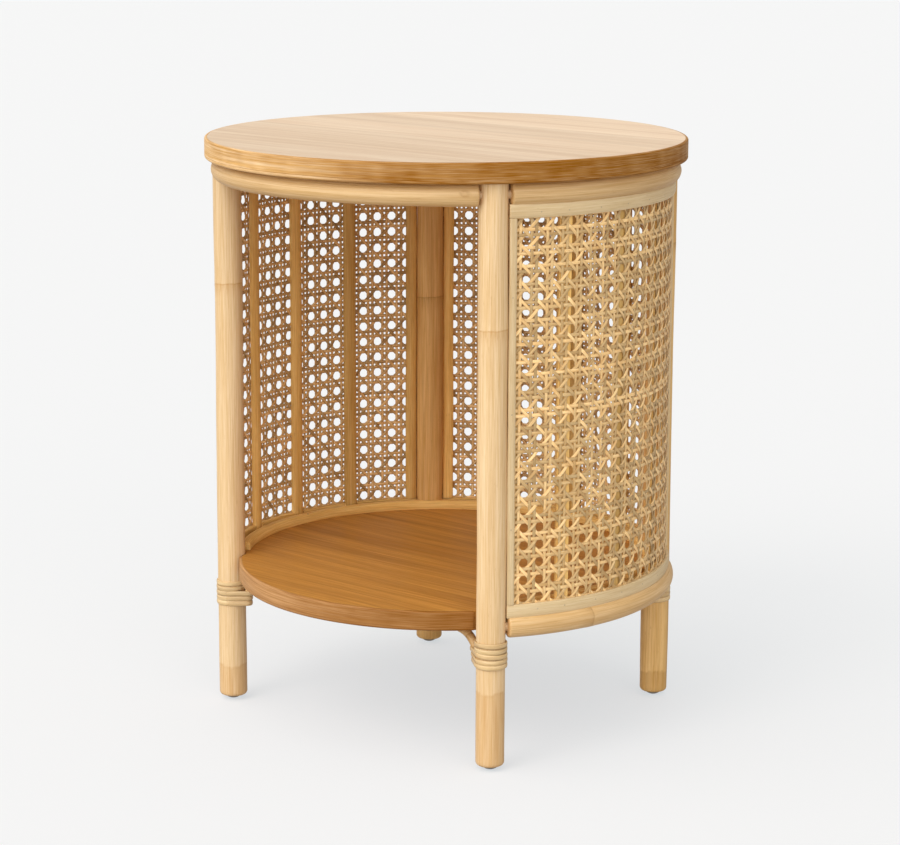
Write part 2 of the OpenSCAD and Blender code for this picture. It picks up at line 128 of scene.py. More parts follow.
BEAD_OUT = high("shelf_bead").y
BEAD_W = 9.0 * MM
BEAD_TUCK = 1.5 * MM
BEAD_TOP = high("shelf_bead").z

BRACE_R = 4.0 * MM
BRACE_LOW = low("brace_back_left").z
BRACE_HIGH = high("brace_back_left").z
PEEL_T = 1.6 * MM
BRACE_FOOT = LEG_R + PEEL_T / 4 + BRACE_R
BRACE_TURN = {"front_left": -30, "front_right": 30, "back_right": 0, "back_left": 0}
BINDING_LOW = low("binding_back_left").z
BINDING_HIGH = high("binding_back_left").z
BINDING_LAP = 15.0 * MM


def turn(along, r):
    """Angle that a distance along the ring takes up at radius r."""
    return math.degrees(math.asin(along / r))


def bay(side):
    """Angles of the two legs of a bay, the second always the larger."""
    a, b = (LEG_ANGLE[c] for c in BAYS[side])
    return a, b if b > a else b + 360


STRIP_ANGLE = turn(STRIP_START + STRIP_W / 2, LEG_RING)


def slat_angles(side):
    a, b = bay(side)
    shift = -RIGHT_SLAT_TURN if side == "right" else 0
    step = (b - a - 2 * STRIP_ANGLE) / (SLAT_COUNT + 1)
    return [a + STRIP_ANGLE + shift + step * (k + 1) for k in range(SLAT_COUNT)]


def rail_rise(r):
    """Height of a rail's surface over its centre line at radius r."""
    return math.sqrt(RAIL_R**2 - (r - RAIL_RING) ** 2)


# ---- skins: rows of points, each (along, a, b, mark) -----------------------------------


def on_ring(start, r0, z0):
    """Along the ring from an angle, a outwards from radius r0, b upwards from z0."""

    def place(s, a, b):
        t = math.radians(start) + s / r0
        r = r0 + a
        return np.stack([r * np.sin(t), -r * np.cos(t), z0 + b], -1)

    return place


def on_post(angle, r0):
    """Upwards, a outwards from radius r0, b along the ring."""
    t = math.radians(angle)
    out = np.array([math.sin(t), -math.cos(t)])
    side = np.array([math.cos(t), math.sin(t)])

    def place(s, a, b):
        flat = (r0 + a)[..., None] * out + b[..., None] * side
        return np.concatenate([flat, s[..., None]], -1)

    return place


def skin(rows, place, tone=0.5):
    """A closed skin over rows of points, with a fan over each end."""
    n, m = rows.shape[:2]
    s, a, b, mark = (rows[..., k] for k in range(4))
    points = place(s, a, b).reshape(-1, 3)
    grain = np.stack([a, b, s], -1).reshape(-1, 3)
    marks = mark.reshape(-1)
    ends = [slice(0, m), slice((n - 1) * m, n * m)]
    points = np.concatenate([points] + [points[e].mean(0)[None] for e in ends])
    grain = np.concatenate([grain] + [grain[e].mean(0)[None] for e in ends])
    marks = np.concatenate([marks] + [marks[e].mean()[None] for e in ends])
    i, j = np.meshgrid(np.arange(n - 1), np.arange(m), indexing="ij")
    i, j, k = i.ravel(), j.ravel(), (j.ravel() + 1) % m
    quads = np.stack([i * m + j, i * m + k, (i + 1) * m + k, (i + 1) * m + j], -1)
    ring = np.arange(m)
    after = (ring + 1) % m
    first, last = n * m, n * m + 1
    fans = np.concatenate([
        np.stack([after, ring, np.full(m, first)], -1),
        np.stack([(n - 1) * m + ring, (n - 1) * m + after, np.full(m, last)], -1),
    ])
    p, q, r = (points[quads[:, c]] - points.mean(0) for c in (0, 1, 2))
    if np.einsum("ij,ij->i", p, np.cross(q, r)).sum() < 0:
        quads, fans = quads[:, ::-1], fans[:, ::-1]
    return points, grain, marks, np.full(len(points), tone), quads, fans


def add(name, data):
    """A new object in the scene."""
    thing = bpy.data.objects.new(name, data)
    bpy.context.scene.collection.objects.link(thing)
    return thing


def piece(name, skins, material, slot, *nodes, sharp=50):
    """Joins skins into one object that rides on the table and stands for CAD nodes."""
    starts = np.cumsum([0] + [len(k[0]) for k in skins])
    co, grain, marks, tones = (np.concatenate([k[c] for k in skins]) for c in range(4))
    quads = np.concatenate([k[4] + at for k, at in zip(skins, starts)])
    fans = np.concatenate([k[5] + at for k, at in zip(skins, starts)])
    corners = np.concatenate([quads.ravel(), fans.ravel()])
    loops = np.concatenate([
        np.arange(len(quads)) * 4,
        len(quads) * 4 + np.arange(len(fans)) * 3,
    ])
    mesh = bpy.data.meshes.new(name)
    mesh.vertices.add(len(co))
    mesh.vertices.foreach_set("co", co.ravel())
    mesh.loops.add(len(corners))
    mesh.loops.foreach_set("vertex_index", corners)
    mesh.polygons.add(len(loops))
    mesh.polygons.foreach_set("loop_start", loops)
    mesh.update(calc_edges=True)
    mesh.validate()
    mesh.polygons.foreach_set("use_smooth", np.ones(len(loops), bool))
    mesh.set_sharp_from_angle(angle=math.radians(sharp))
    mesh.attributes.new("grain", "FLOAT_VECTOR", "POINT").data.foreach_set("vector", grain.ravel())
    mesh.attributes.new("mark", "FLOAT", "POINT").data.foreach_set("value", marks)
    mesh.attributes.new("tone", "FLOAT", "POINT").data.foreach_set("value", tones)
    mesh.materials.append(material)
    thing = add(name, mesh)
    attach(thing, "root")
    if nodes:
        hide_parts(*nodes)


def waves(seed, size, longest, count=4):
    """A smooth random curve: a function of the distance along a piece."""
    rng = random.Random(seed)
    parts = []
    for k in range(count):
        pace = TAU * (k + 1) / longest * rng.uniform(0.8, 1.25)
        parts.append((size / (k + 1), pace, rng.uniform(0, TAU)))
    return lambda s: sum(size_k * np.sin(pace * s + phase) for size_k, pace, phase in parts)


def bump(x, middle, width):
    return np.exp(-(((x - middle) / width) ** 2))


def rounded_end(r, steps=6):
    """Steps along and in from an end whose edge is rounded to radius r."""
    angles = np.linspace(0, math.pi / 2, steps)
    return r * (1 - np.cos(angles)), r * (1 - np.sin(angles))


# ---- rattan poles -------------------------------------------------------------------

# rows stand closer together near a node, and never at one place
NODE_REACH = 4 * MM
NODE_STEP = 0.35 * MM
SAME_PLACE = 0.01 * MM


def pole_rows(start, stop, radius, seed, nodes=(), ends=(1.5 * MM, 1.5 * MM),
              around=48, step=2 * MM, bend=0.25 * MM, scars=(), peeled=None):
    """A pole with faint nodes and branch scars, its skin worn away below the height peeled.

    A scar is its height, its direction round the pole in degrees, and its size.
    """
    rng = random.Random(seed)
    fine = [np.arange(n - NODE_REACH, n + NODE_REACH, NODE_STEP) for n in nodes]
    body = np.arange(start + ends[0], stop - ends[1], step)
    s = np.unique(np.concatenate([body, *fine]))
    s = s[np.diff(s, prepend=-1.0) > SAME_PLACE]
    s = s[(s >= start + ends[0]) & (s < stop - ends[1])]
    head, head_in = rounded_end(ends[0])
    tail, tail_in = rounded_end(ends[1])
    along = np.concatenate([start + head[:-1], s, (stop - tail)[::-1]])
    inset = np.concatenate([head_in[:-1], np.zeros(len(s)), tail_in[::-1]])
    angle = np.linspace(0, TAU, around, endpoint=False)
    s, angle = np.meshgrid(along, angle, indexing="ij")
    swell = waves(seed + 1, 0.012, 0.4)(s)
    oval = 0.008 * np.cos(2 * angle + rng.uniform(0, TAU) + 3 * s)
    flutes = 0.003 * np.sin(7 * angle + waves(seed + 2, 1.5, 0.5)(s))
    r = radius * (1 + swell - 0.02 + oval + flutes)
    mark = np.zeros_like(s)
    for node in nodes:
        tilt = rng.uniform(0.3, 0.8) * MM
        ragged = 0.3 * MM * np.sin(5 * angle + rng.uniform(0, TAU)) * np.cos(2 * angle)
        at = node + tilt * np.cos(angle + rng.uniform(0, TAU)) + ragged
        r += 0.22 * MM * bump(s, at, 5 * MM) - 0.10 * MM * bump(s, at, 0.6 * MM)
        mark += 0.35 * bump(s, at, 0.6 * MM)
        below = np.clip((at - s) / (15 * MM), 0, 1)
        fibres = 0.6 + 0.4 * np.sin(17 * angle + rng.uniform(0, TAU)) * np.sin(31 * angle)
        mark += 0.55 * fibres * np.where(s < at, (1 - below) ** 1.3, 0)
    for height, facing, size in scars:
        turned = np.angle(np.exp(1j * (angle - math.radians(facing)))) * radius
        away = np.hypot(turned, (s - height) / 1.4)
        r += 0.35 * MM * bump(away, 0, size) - 0.15 * MM * bump(away, size, 0.3 * size)
        mark += 0.45 * bump(away, size, 0.3 * size) + 0.12 * bump(away, 0, size)
    r = np.minimum(r, radius) - inset[:, None]
    a = r * np.cos(angle) + waves(seed + 3, bend, 0.5, 3)(s)
    b = r * np.sin(angle) + waves(seed + 4, bend, 0.5, 3)(s)
    mark += 0.3 * (inset[:, None] / max(ends) > 0.4)
    if peeled is not None:
        border = peeled + 1.2 * MM * np.sin(3 * angle) + 0.6 * MM * np.sin(11 * angle)
        worn = np.clip((border - s) / (1.6 * MM), 0, 1)
        r_worn = 0.12 * MM * worn * (0.6 + 0.4 * np.sin(23 * angle + 40 * s))
        a = a - r_worn * np.cos(angle)
        b = b - r_worn * np.sin(angle)
        fibres = 0.55 + 0.45 * np.sin(19 * angle + 25 * s) * np.sin(43 * angle - 60 * s)
        mark += (0.16 + 0.30 * fibres + 0.20 * bump(s, border, 2.0 * MM)) * worn
    return np.stack([s, a, b, np.clip(mark, 0, 1)], -1)


def rail(name, side, z, seed, nodes, knots=()):
    a, b = bay(side)
    start = math.radians(turn(LEG_R + RAIL_GAP, LEG_RING)) * RAIL_RING
    length = math.radians(b - a) * RAIL_RING
    rows = pole_rows(
        start, length - start, RAIL_R, seed, [length * n for n in nodes],
        ends=(2.2 * MM, 2.2 * MM), around=44, scars=knots,
    )
    place = on_ring(a, RAIL_RING, z)
    tone = random.Random(seed).uniform(0.3, 0.7)
    piece(name + "_pole", [skin(rows, place, tone)], RAIL_RATTAN, "rail_pole", name)


# ---- strips and profiles --------------------------------------------------------------


def rounded_profile(a0, a1, b0, b1, radii):
    """A box outline with its corners rounded: radii at (a0,b0), (a1,b0), (a1,b1), (a0,b1)."""
    corners = [(a0, b0, 1, 1, 180), (a1, b0, -1, 1, 270), (a1, b1, -1, -1, 0), (a0, b1, 1, -1, 90)]
    points = []
    for (a, b, to_a, to_b, first), r in zip(corners, radii):
        steps = 5 if r > 0.3 * MM else 2
        for k in range(steps + 1):
            t = math.radians(first + 90 * k / steps)
            points.append((a + to_a * r + r * math.cos(t), b + to_b * r + r * math.sin(t)))
    return np.array(points)


def strip_rows(profile, start, stop, step=3 * MM, round_end=0.5 * MM, seed=0, wander=0.1 * MM):
    """An outline (a, b) drawn along a distance, its ends drawn in a little."""
    head, head_in = rounded_end(round_end, 4)
    body = np.arange(start + round_end, stop - round_end, step)
    along = np.concatenate([start + head[:-1], body, (stop - head)[::-1]])
    inset = np.concatenate([head_in[:-1], np.zeros(len(body)), head_in[::-1]])
    middle = (profile.max(0) + profile.min(0)) / 2
    half = (profile.max(0) - profile.min(0)) / 2
    share = 1 - inset[:, None, None] / half
    shape = middle + (profile - middle) * share
    shape = shape + np.stack(
        [0 * along, waves(seed, wander, 0.3, 3)(along) if wander else 0 * along], -1
    )[:, None, :]
    rows = np.zeros((len(along), len(profile), 4))
    rows[..., 0] = along[:, None]
    rows[..., 1:3] = shape
    return rows


# radius of a strip's crown, as a share of its width
CROWN_SHARE = 0.72


def crowned_profile(width, thick, steps=12):
    """A flat back at a = 0 and a crowned face towards -a."""
    crown = CROWN_SHARE * width
    points = [(0.0, width / 2), (0.0, -width / 2)]
    for k in range(steps + 1):
        b = -width / 2 * math.cos(math.pi * k / steps)
        points.append((-thick + crown - math.sqrt(crown**2 - b**2), b))
    return np.array(points)


# ---- materials ------------------------------------------------------------------------


def new_material(name):
    mat = bpy.data.materials.new(name)
    mat.use_nodes = True
    nodes = mat.node_tree.nodes
    return mat, nodes, mat.node_tree.links.new, nodes["Principled BSDF"]


def noise_node(nodes, link, vector, scale, detail=3.0, rough=0.6, w=None):
    """Noise over a scaled vector; w gives each piece or leaf a pattern of its own."""
    mapping = nodes.new("ShaderNodeMapping")
    mapping.inputs["Scale"].default_value = scale
    link(vector, mapping.inputs["Vector"])
    noise = nodes.new("ShaderNodeTexNoise")
    noise.inputs["Scale"].default_value = 1.0
    noise.inputs["Detail"].default_value = detail
    noise.inputs["Roughness"].default_value = rough
    link(mapping.outputs["Vector"], noise.inputs["Vector"])
    if w is not None:
        noise.noise_dimensions = "4D"
        link(w, noise.inputs["W"])
    return noise.outputs["Fac"]


def ramp(nodes, link, value, low_at, high_at, out_low=0.0, out_high=1.0):
    node = nodes.new("ShaderNodeMapRange")
    node.inputs["From Min"].default_value = low_at
    node.inputs["From Max"].default_value = high_at
    node.inputs["To Min"].default_value = out_low
    node.inputs["To Max"].default_value = out_high
    link(value, node.inputs["Value"])
    return node.outputs["Result"]


def math_node(nodes, link, kind, a, b):
    node = nodes.new("ShaderNodeMath")
    node.operation = kind
    for socket, value in zip(node.inputs, (a, b)):
        if isinstance(value, (int, float)):
            socket.default_value = value
        else:
            link(value, socket)
    return node.outputs["Value"]


def mix_colour(nodes, link, factor, a, b):
    node = nodes.new("ShaderNodeMix")
    node.data_type = "RGBA"
    for socket, value in zip((node.inputs[0], node.inputs[6], node.inputs[7]), (factor, a, b)):
        if isinstance(value, tuple):
            socket.default_value = (*value, 1.0)
        elif isinstance(value, (int, float)):
            socket.default_value = value
        else:
            link(value, socket)
    return node.outputs[2]


def scaled(nodes, link, colour, factor):
    node = nodes.new("ShaderNodeVectorMath")
    node.operation = "SCALE"
    link(colour, node.inputs[0])
    link(factor, node.inputs["Scale"])
    return node.outputs["Vector"]


def attribute(nodes, name):
    node = nodes.new("ShaderNodeAttribute")
    node.attribute_name = name
    return node


def finish_surface(nodes, link, shader, height, strength, distance):
    bump_node = nodes.new("ShaderNodeBump")
    bump_node.inputs["Strength"].default_value = strength
    bump_node.inputs["Distance"].default_value = distance
    link(height, bump_node.inputs["Height"])
    link(bump_node.outputs["Normal"], shader.inputs["Normal"])


def grained(name, light, mid, dark, mark=(0.10, 0.045, 0.018), across=900.0, along=28.0,
            patch=0.5, flecks=0.25, rough=0.42, coat=0.15, bump_depth=0.12 * MM, spread=0.5,
            fibre=0.35, shine=0.35):
    """Rattan, cane peel and moulding wood: streaks along the piece, fibres, patches, marks."""
    mat, nodes, link, shader = new_material(name)
    grain = attribute(nodes, "grain").outputs["Vector"]
    tone = attribute(nodes, "tone").outputs["Fac"]
    tone_w = math_node(nodes, link, "MULTIPLY", tone, 37.0)
    streak = noise_node(nodes, link, grain, (across, across, along), 3.0, 0.65, tone_w)
    patches = noise_node(nodes, link, grain, (across / 12, across / 12, along / 3), 3.0, 0.6, tone_w)
    fine = noise_node(nodes, link, grain, (across * 2.5, across * 2.5, along * 3), 2.0, 0.6, tone_w)
    dots = noise_node(nodes, link, grain, (across / 1.6, across / 1.6, along * 7), 2.0, 0.5, tone_w)

    colour = mix_colour(nodes, link, ramp(nodes, link, streak, 0.38, 0.62), light, mid)
    shade = ramp(nodes, link, patches, 0.42, 0.72, 0.0, patch)
    colour = mix_colour(nodes, link, shade, colour, dark)
    # thin dark fibres, denser where the streaks are dark
    thread = math_node(nodes, link, "MULTIPLY", ramp(nodes, link, fine, 0.46, 0.66),
                       ramp(nodes, link, streak, 0.35, 0.65, 0.35, 1.0))
    colour = mix_colour(nodes, link, math_node(nodes, link, "MULTIPLY", thread, fibre), colour, dark)
    lift = ramp(nodes, link, tone, 0.0, 1.0, 1.0 - 0.25 * spread, 1.0 + 0.25 * spread)
    colour = scaled(nodes, link, colour, lift)
    fleck = ramp(nodes, link, dots, 0.66, 0.74, 0.0, flecks)
    colour = mix_colour(nodes, link, fleck, colour, dark)
    # the mark attribute pulls the colour towards the mark colour: real nodes, scars and wear on the
    # poles, painted shade at the cane strands' edges, and on the boards' edges partly painted shade
    marked = attribute(nodes, "mark").outputs["Fac"]
    wear_and_shade = math_node(nodes, link, "MULTIPLY", marked, ramp(nodes, link, fine, 0.3, 0.6, 0.7, 1.15))
    colour = mix_colour(nodes, link, wear_and_shade, colour, mark)
    link(colour, shader.inputs["Base Color"])
    link(ramp(nodes, link, fine, 0.3, 0.7, rough - 0.06, rough + 0.08), shader.inputs["Roughness"])
    shader.inputs["Specular IOR Level"].default_value = shine
    shader.inputs["Coat Weight"].default_value = coat
    shader.inputs["Coat Roughness"].default_value = 0.28
    height = math_node(nodes, link, "ADD", streak, math_node(nodes, link, "MULTIPLY", fine, 0.8))
    finish_surface(nodes, link, shader, height, 0.75, bump_depth)
    return mat


def veneer(name, light, mid, dark, leaf=0.066, rough=0.48, coat=0.03, contrast=0.5, shine=0.25):
    """Board veneer: leaves side by side, grain along X."""
    mat, nodes, link, shader = new_material(name)
    coordinates = nodes.new("ShaderNodeTexCoord").outputs["Object"]
    split = nodes.new("ShaderNodeSeparateXYZ")
    link(coordinates, split.inputs[0])
    leaves = math_node(nodes, link, "DIVIDE", split.outputs["Y"], leaf)
    number = math_node(nodes, link, "FLOOR", math_node(nodes, link, "ADD", leaves, 0.35), 0.0)
    random_leaf = nodes.new("ShaderNodeTexWhiteNoise")
    random_leaf.noise_dimensions = "1D"
    link(number, random_leaf.inputs["W"])
    leaf_w = math_node(nodes, link, "MULTIPLY", number, 5.7)
    waver = noise_node(nodes, link, coordinates, (5.0, 22.0, 5.0), 2.0, 0.5, leaf_w)
    bent = nodes.new("ShaderNodeCombineXYZ")
    link(split.outputs["X"], bent.inputs["X"])
    link(math_node(nodes, link, "ADD", split.outputs["Y"],
                   math_node(nodes, link, "MULTIPLY", waver, 0.012)), bent.inputs["Y"])
    link(split.outputs["Z"], bent.inputs["Z"])
    bent = bent.outputs["Vector"]
    streak = noise_node(nodes, link, bent, (7.0, 420.0, 420.0), 4.0, 0.65, leaf_w)
    figure = noise_node(nodes, link, bent, (2.5, 60.0, 60.0), 3.0, 0.55, leaf_w)
    pores = noise_node(nodes, link, bent, (60.0, 1900.0, 1900.0), 2.0, 0.6, leaf_w)
    colour = mix_colour(nodes, link, ramp(nodes, link, streak, 0.38, 0.62), light, mid)
    colour = mix_colour(nodes, link, ramp(nodes, link, figure, 0.42, 0.68, 0.0, contrast), colour, dark)
    lines = ramp(nodes, link, pores, 0.54, 0.68, 0.0, 0.75 * contrast)
    colour = mix_colour(nodes, link, lines, colour, dark)
    lift = ramp(nodes, link, random_leaf.outputs["Value"], 0.0, 1.0, 0.94, 1.05)
    link(scaled(nodes, link, colour, lift), shader.inputs["Base Color"])
    link(ramp(nodes, link, streak, 0.3, 0.7, rough - 0.04, rough + 0.06), shader.inputs["Roughness"])
    shader.inputs["Specular IOR Level"].default_value = shine
    shader.inputs["Coat Weight"].default_value = coat
    shader.inputs["Coat Roughness"].default_value = 0.3
    height = math_node(nodes, link, "SUBTRACT", streak, pores)
    finish_surface(nodes, link, shader, height, 0.35, 0.05 * MM)
    return mat


def solid_stuff(name, light, dark, scale, rough, metal=0.0, stretch=1.0, bump_depth=0.03 * MM):
    """Small parts that keep their CAD shape: turned wood, steel, moulded plastic."""
    mat, nodes, link, shader = new_material(name)
    coordinates = nodes.new("ShaderNodeTexCoord").outputs["Object"]
    speck = noise_node(nodes, link, coordinates, (scale, scale, scale / stretch), 3.0, 0.6)
    fine = noise_node(nodes, link, coordinates, (4 * scale, 4 * scale, 4 * scale / stretch), 2.0)
    link(mix_colour(nodes, link, ramp(nodes, link, speck, 0.35, 0.65), light, dark),
         shader.inputs["Base Color"])
    link(ramp(nodes, link, fine, 0.3, 0.7, rough - 0.08, rough + 0.08), shader.inputs["Roughness"])
    shader.inputs["Metallic"].default_value = metal
    finish_surface(nodes, link, shader, fine, 0.4, bump_depth)
    return mat


LEG_RATTAN = grained("leg rattan", (0.86, 0.64, 0.385), (0.76, 0.51, 0.245), (0.52, 0.28, 0.085),
                     mark=(0.55, 0.26, 0.06), across=1300.0, along=16.0, patch=0.34,
                     flecks=0.3, rough=0.45, coat=0.05, fibre=0.42)
# the back legs get a deeper, more orange copy of the leg rattan: partly a tone of their own, partly
# painted shade from standing inside the table
BACK_LEG_RATTAN = grained("back leg rattan", (0.89, 0.585, 0.255), (0.77, 0.45, 0.14),
                          (0.44, 0.19, 0.035), mark=(0.40, 0.19, 0.04), across=1300.0, along=16.0,
                          patch=0.6, flecks=0.35, rough=0.45, coat=0.03, fibre=0.42, shine=0.2)
RAIL_RATTAN = grained("rail rattan", (0.84, 0.58, 0.30), (0.71, 0.44, 0.175), (0.44, 0.22, 0.055),
                      mark=(0.40, 0.19, 0.045), across=1200.0, along=16.0, patch=0.45,
                      flecks=0.3, rough=0.45, coat=0.05, fibre=0.38)
# the cane's mark colour is painted shade at the strands' edges
CANE = grained("cane weave", (0.95, 0.69, 0.35), (0.84, 0.54, 0.225), (0.50, 0.25, 0.065),
               mark=(0.17, 0.075, 0.018), across=1400.0, along=60.0, patch=0.65, flecks=0.4,
               rough=0.42, coat=0.05, spread=1.35)
TRIM = grained("trim reed", (0.80, 0.62, 0.37), (0.72, 0.53, 0.28), (0.44, 0.25, 0.09),
               across=1300.0, along=22.0, patch=0.3, flecks=0.25, rough=0.5, coat=0.03)
INNER = grained("inner strips", (0.94, 0.63, 0.235), (0.82, 0.48, 0.13), (0.42, 0.20, 0.040),
                across=1100.0, along=18.0, patch=0.45, flecks=0.25, rough=0.5, coat=0.02, shine=0.2,
                fibre=0.45, spread=0.8)
PEEL = grained("rattan peel", (0.77, 0.57, 0.31), (0.67, 0.46, 0.21), (0.40, 0.20, 0.07),
               across=1500.0, along=60.0, patch=0.4, flecks=0.2, rough=0.33, coat=0.22)
# the edges' mark colours darken their right side: partly the wood's own tone, partly painted shade
TOP_EDGE = grained("top edge", (0.97, 0.70, 0.40), (0.78, 0.45, 0.15), (0.34, 0.13, 0.016),
                   mark=(0.28, 0.10, 0.005), across=1000.0, along=12.0, patch=0.35, flecks=0.1,
                   rough=0.45, coat=0.0, fibre=0.5, shine=0.05)
SHELF_EDGE = grained("shelf edge", (0.62, 0.345, 0.15), (0.50, 0.245, 0.08), (0.19, 0.065, 0.010),
                     mark=(0.24, 0.082, 0.005), across=1000.0, along=12.0, patch=0.4, flecks=0.1,
                     rough=0.45, coat=0.02, fibre=0.6, shine=0.15)
TOP_VENEER = veneer("top veneer", (0.88, 0.70, 0.51), (0.80, 0.59, 0.41), (0.60, 0.39, 0.23),
                    contrast=0.45)
SHELF_VENEER = veneer("shelf veneer", (0.64, 0.295, 0.058), (0.50, 0.216, 0.038),
                      (0.26, 0.092, 0.012), contrast=0.55, rough=0.42, shine=0.2)
DOWEL_WOOD = solid_stuff("dowel wood", (0.66, 0.46, 0.26), (0.52, 0.33, 0.17), 300.0, 0.6, stretch=12.0)
STEEL = solid_stuff("steel", (0.42, 0.38, 0.34), (0.22, 0.19, 0.17), 900.0, 0.42, metal=0.9)
BRAD = solid_stuff("brad heads", (0.62, 0.48, 0.30), (0.46, 0.34, 0.20), 900.0, 0.5, metal=0.3)
GLIDE = solid_stuff("glide plastic", (0.30, 0.26, 0.22), (0.20, 0.17, 0.14), 500.0, 0.5)

# ---- legs and rails ----------------------------------------------------------------------

LEG_NODES = {
    "front_left": (0.409,),
    "front_right": (0.402,),
    "back_right": (0.446,),
    "back_left": (0.365, 0.105),
}
# height below which each leg's skin is worn
LEG_PEELED = {
    "front_left": 0.036,
    "front_right": 0.074,
    "back_right": 0.026,
    "back_left": 0.045,
}
# scars, turned from the side of the leg that faces outwards
LEG_SCARS = {
    "front_left": ((0.516, 20, 3.2 * MM), (0.146, -35, 2.2 * MM)),
    "front_right": (),
    "back_right": ((0.300, 60, 2.2 * MM),),
    "back_left": ((0.250, -50, 2.4 * MM),),
}

for number, corner in enumerate(CORNERS):
    rows = pole_rows(
        LEG_FOOT, LEG_HEAD, LEG_R, 10 * number + 3, LEG_NODES[corner],
        ends=(3.5 * MM, 0.5 * MM), scars=LEG_SCARS[corner], around=72,
        peeled=LEG_PEELED[corner],
    )
    tone = 0.5 + 0.1 * (number % 2)
    shape = skin(rows, on_post(LEG_ANGLE[corner], LEG_RING), tone)
    # the back legs' deeper rattan is partly painted shade
    rattan = BACK_LEG_RATTAN if corner.startswith("back") else LEG_RATTAN
    piece("leg_pole_" + corner, [shape], rattan, "leg_pole", "leg_" + corner)

# rails: places of their nodes as shares of their length
TOP_RAIL_NODES = {"right": (), "back": (0.35,), "left": (0.55,), "front": ()}
LOW_RAIL_NODES = {"right": (0.31,), "back": (0.60,), "left": (0.42,)}
FRONT_KNOT = ((0.352, 12, 2.4 * MM),)
for number, (side, nodes_at) in enumerate(TOP_RAIL_NODES.items()):
    knots = FRONT_KNOT if side == "front" else ()
    rail("top_rail_" + side, side, TOP_RAIL_Z, 200 + number, nodes_at, knots)
for number, (side, nodes_at) in enumerate(LOW_RAIL_NODES.items()):
    rail("bottom_rail_" + side, side, LOW_RAIL_Z, 300 + number, nodes_at)

# ---- boards ------------------------------------------------------------------------------


GROOVE_DEPTH = 0.22 * MM
GROOVE_HALF = 0.25 * MM
# the edges of both boards are darkest at this angle, and fade beyond this much either way: partly their
# own darker wood, partly painted shade on the side away from the light
DARK_AT = 75.0
DARK_REACH = 62.0
DARK_FADE = 12.0


def edge_profile(z0, z1, groove_at):
    """The outer face of a board's lipping, with a fine glue line near its lower edge."""
    points = [(-LIPPING_T, z0)]
    for k in range(9):
        t = math.radians(-90 + 90 * k / 8)
        points.append((-ARRIS_R + ARRIS_R * math.cos(t), z0 + ARRIS_R + ARRIS_R * math.sin(t)))
    line = z0 + groove_at
    points += [(0, line - GROOVE_HALF), (-GROOVE_DEPTH, line), (0, line + GROOVE_HALF)]
    for k in range(9):
        t = math.radians(90 * k / 8)
        points.append((-ARRIS_R + ARRIS_R * math.cos(t), z1 - ARRIS_R + ARRIS_R * math.sin(t)))
    points.append((-LIPPING_T, z1))
    return np.array(points)


def shade_round(rows, r, start, seed):
    """Darkens a board's edge round its right side and along its glue line, in slanting streaks: round
    the right side partly its own darker wood, partly painted shade.
    """
    angle = start + np.degrees(rows[..., 0] / r)
    turned = (angle - DARK_AT + 180.0) % 360.0 - 180.0
    tone_and_shade = 0.86 / (1 + np.exp((np.abs(turned) - DARK_REACH) / DARK_FADE))
    slant = rows[..., 0] + 14.0 * rows[..., 2]
    streak = waves(seed, 0.12, 0.30, 5)(slant) + waves(seed + 7, 0.07, 0.045, 3)(slant)
    line = 0.6 * bump(rows[..., 1], -GROOVE_DEPTH, 0.08 * MM)
    # mark: the glue line, and round the right side partly darker wood, partly painted shade
    rows[..., 3] = np.clip(0.03 + tone_and_shade + 0.8 * streak + line, 0.0, 0.97)
    return rows


# where the ends of the top's lipping meet, at the back
SEAM = 214.0
EDGE_STEP = 2.5 * MM
top_outline = edge_profile(UNDER_TOP, TOP_Z, 3.4 * MM)
top_band = strip_rows(top_outline, 0, TAU * TOP_R, step=EDGE_STEP, round_end=0.02 * MM, wander=0)
top_band = shade_round(top_band, TOP_R, SEAM, 51)
top_skin = skin(top_band, on_ring(SEAM, TOP_R, 0))
piece("top_edge_band", [top_skin], TOP_EDGE, "top_edge", "top_lipping", sharp=40)

shelf_outline = edge_profile(UNDER_SHELF, SHELF_Z, 3.2 * MM)
bands = []
for number, side in enumerate(BAYS):
    a, b = bay(side)
    clear = turn(LEG_R + SIDE_GAP, SHELF_R)
    length = math.radians(b - a - 2 * clear) * SHELF_R
    rows = strip_rows(shelf_outline, 0, length, step=EDGE_STEP, round_end=0.05 * MM, wander=0)
    rows = shade_round(rows, SHELF_R, a + clear, 61 + number)
    bands.append(skin(rows, on_ring(a + clear, SHELF_R, 0), 0.4 + 0.07 * number))
piece("shelf_edge_bands", bands, SHELF_EDGE, "shelf_edge", "shelf_lipping", sharp=40)

# ---- woven cane --------------------------------------------------------------------------

PITCH = 15.1 * MM
# the rows of holes stand a little farther apart than the columns
CANE_STRETCH = 1.06
PAIR_GAP = 0.305 * PITCH
STRAND_W = 0.195 * PITCH
STRAND_T = 0.5 * MM
DIAGONAL_LIFT = 0.72 * MM
PLAIN_LIFT = 0.28 * MM
POINTS_PER_PITCH = 10
# a strand keeps this far inside the panel's edge, and a diagonal is at least this high
EDGE_MARGIN = 0.8 * MM
SHORTEST = 4 * MM


def strand_outline():
    """Rounded flat section of a strand: crowned outside, nearly flat inside."""
    w, t = STRAND_W / 2, STRAND_T / 2
    return np.array([
        (-0.55 * t, -0.96 * w), (0.25 * t, -w), (0.85 * t, -0.6 * w), (t, 0.0),
        (0.85 * t, 0.6 * w), (0.25 * t, w), (-0.55 * t, 0.96 * w), (-0.8 * t, 0.0),
    ])


def plain_height(v, sign):
    """Height of an upright or level strand: over one of each pair that it crosses, under one."""
    u = (v + 0.5) % 1.0 - 0.5
    at = u / (PAIR_GAP / PITCH / 2)
    return sign * PLAIN_LIFT * at * np.exp(0.5 * (1 - at**2))


